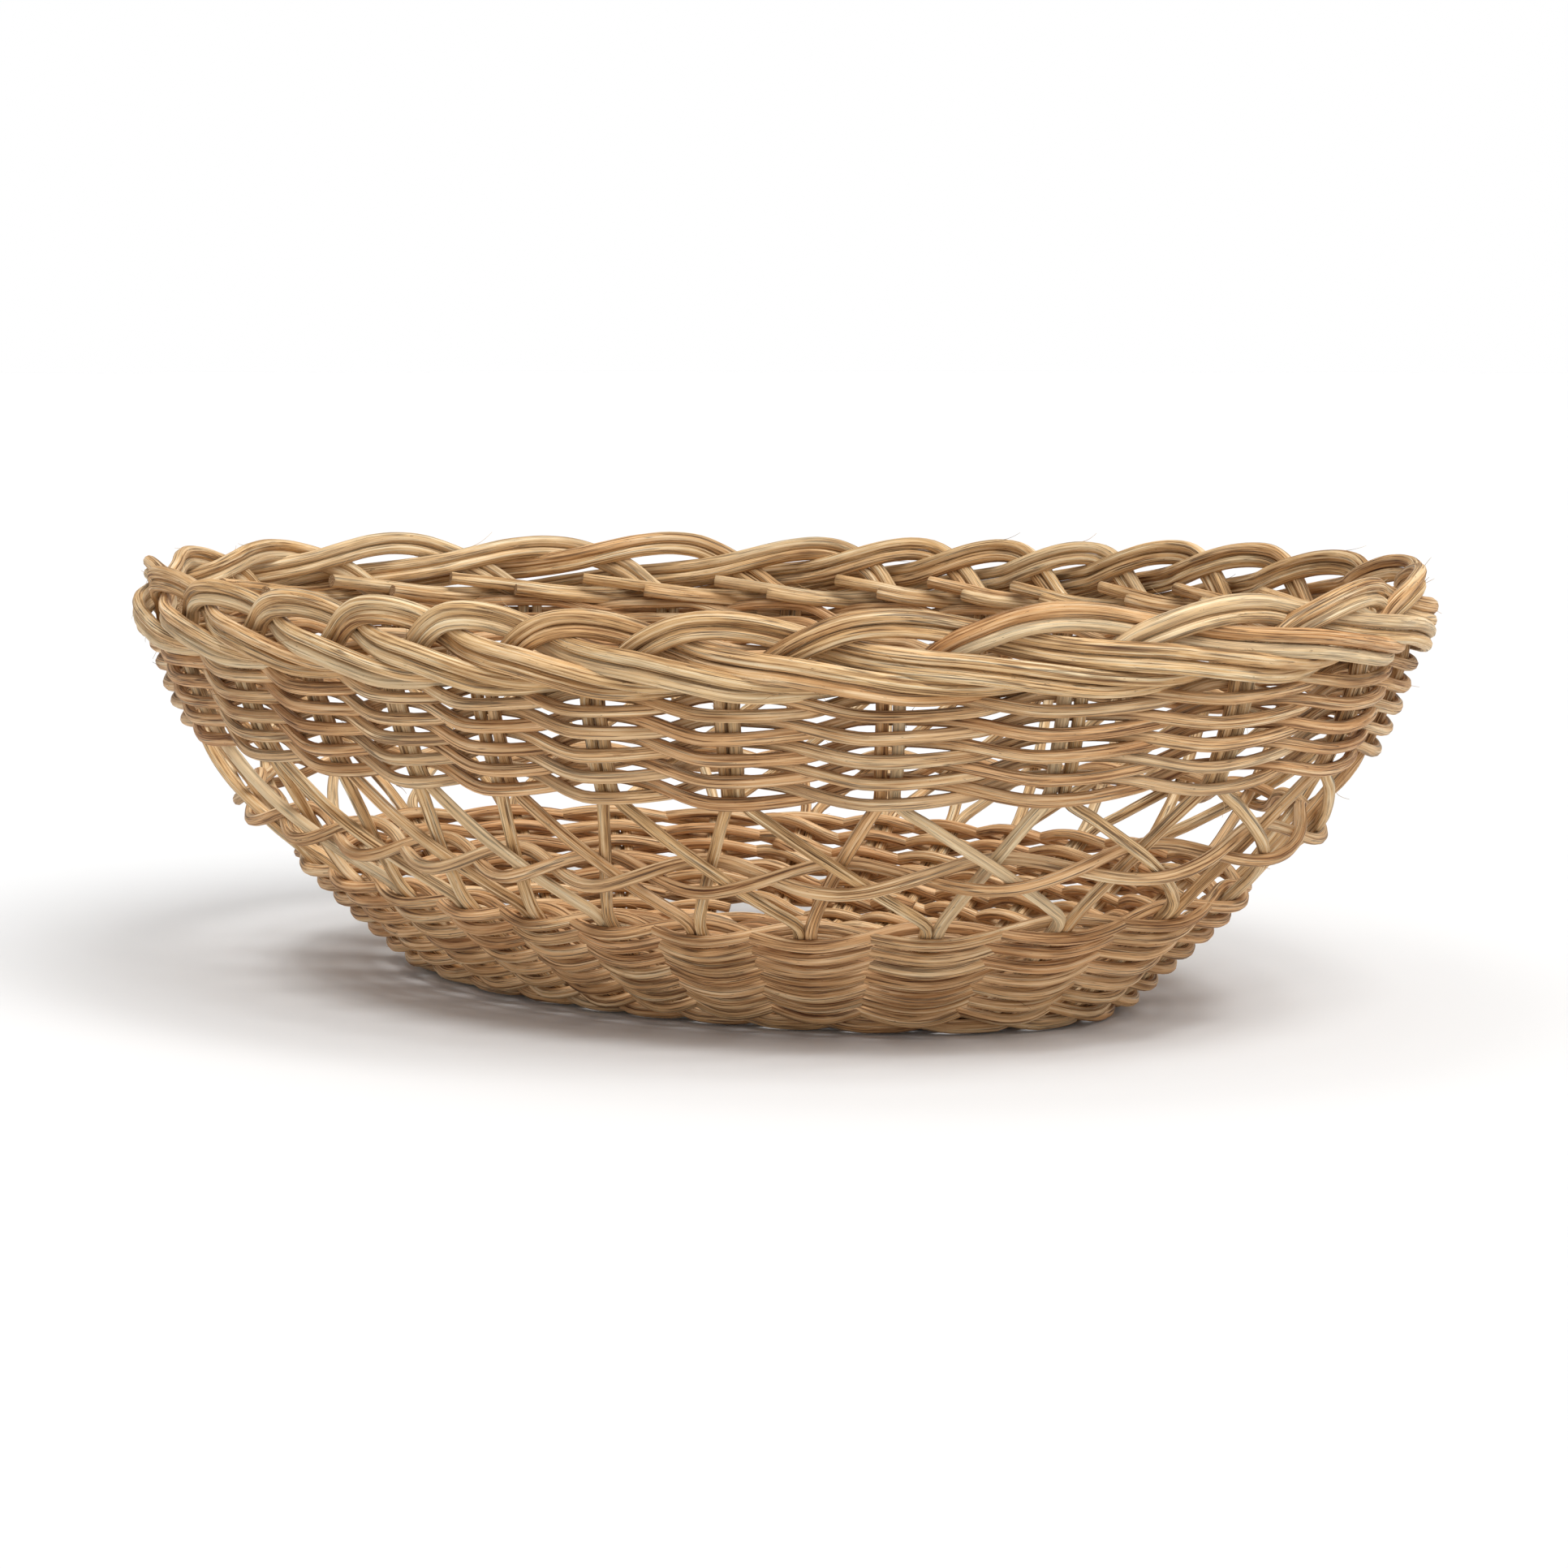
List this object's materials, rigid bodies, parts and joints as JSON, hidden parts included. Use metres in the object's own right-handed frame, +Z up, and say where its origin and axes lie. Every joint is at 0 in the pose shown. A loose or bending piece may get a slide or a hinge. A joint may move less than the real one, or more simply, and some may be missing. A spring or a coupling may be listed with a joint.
{
  "type": "bread basket",
  "caption": "Open oval woven reed basket with flared sides, a band of openwork crossed stakes between two woven bands, and a rolled border, for serving bread.",
  "frame": {"origin": "on the table under the middle of the bottom", "axes": "+X along the oval's long axis, +Y along its short axis, +Z up"},
  "size_m": [0.3434, 0.2738, 0.1059],
  "materials": {
    "stakes": "satin peeled rattan reed",
    "weavers": "satin peeled rattan reed",
    "base_weave": "matt peeled rattan reed, darker"
  },
  "bodies": {
    "root": {"woven_base": "base_weave", "lower_band_outer_weave": "weavers", "lower_band_inner_weave": "weavers", "crossing_row_outer_strand": "weavers", "crossing_row_inner_strand": "weavers", "upper_band_outer_weave": "weavers", "upper_band_inner_weave": "weavers", "rolled_border": "stakes", "upright_stake_01": "stakes", "slanting_stake_01": "stakes", "upright_stake_02": "stakes", "slanting_stake_02": "stakes", "upright_stake_03": "stakes", "slanting_stake_03": "stakes", "upright_stake_04": "stakes", "slanting_stake_04": "stakes", "upright_stake_05": "stakes", "slanting_stake_05": "stakes", "upright_stake_06": "stakes", "slanting_stake_06": "stakes", "upright_stake_07": "stakes", "slanting_stake_07": "stakes", "upright_stake_08": "stakes", "slanting_stake_08": "stakes", "upright_stake_09": "stakes", "slanting_stake_09": "stakes", "upright_stake_10": "stakes", "slanting_stake_10": "stakes", "upright_stake_11": "stakes", "slanting_stake_11": "stakes", "upright_stake_12": "stakes", "slanting_stake_12": "stakes", "upright_stake_13": "stakes", "slanting_stake_13": "stakes", "upright_stake_14": "stakes", "slanting_stake_14": "stakes", "upright_stake_15": "stakes", "slanting_stake_15": "stakes", "upright_stake_16": "stakes", "slanting_stake_16": "stakes", "upright_stake_17": "stakes", "slanting_stake_17": "stakes", "upright_stake_18": "stakes", "slanting_stake_18": "stakes", "upright_stake_19": "stakes", "slanting_stake_19": "stakes", "upright_stake_20": "stakes", "slanting_stake_20": "stakes", "upright_stake_21": "stakes", "slanting_stake_21": "stakes", "upright_stake_22": "stakes", "slanting_stake_22": "stakes", "upright_stake_23": "stakes", "slanting_stake_23": "stakes", "upright_stake_24": "stakes", "slanting_stake_24": "stakes", "upright_stake_25": "stakes", "slanting_stake_25": "stakes", "upright_stake_26": "stakes", "slanting_stake_26": "stakes"}
  },
  "joints": []
}
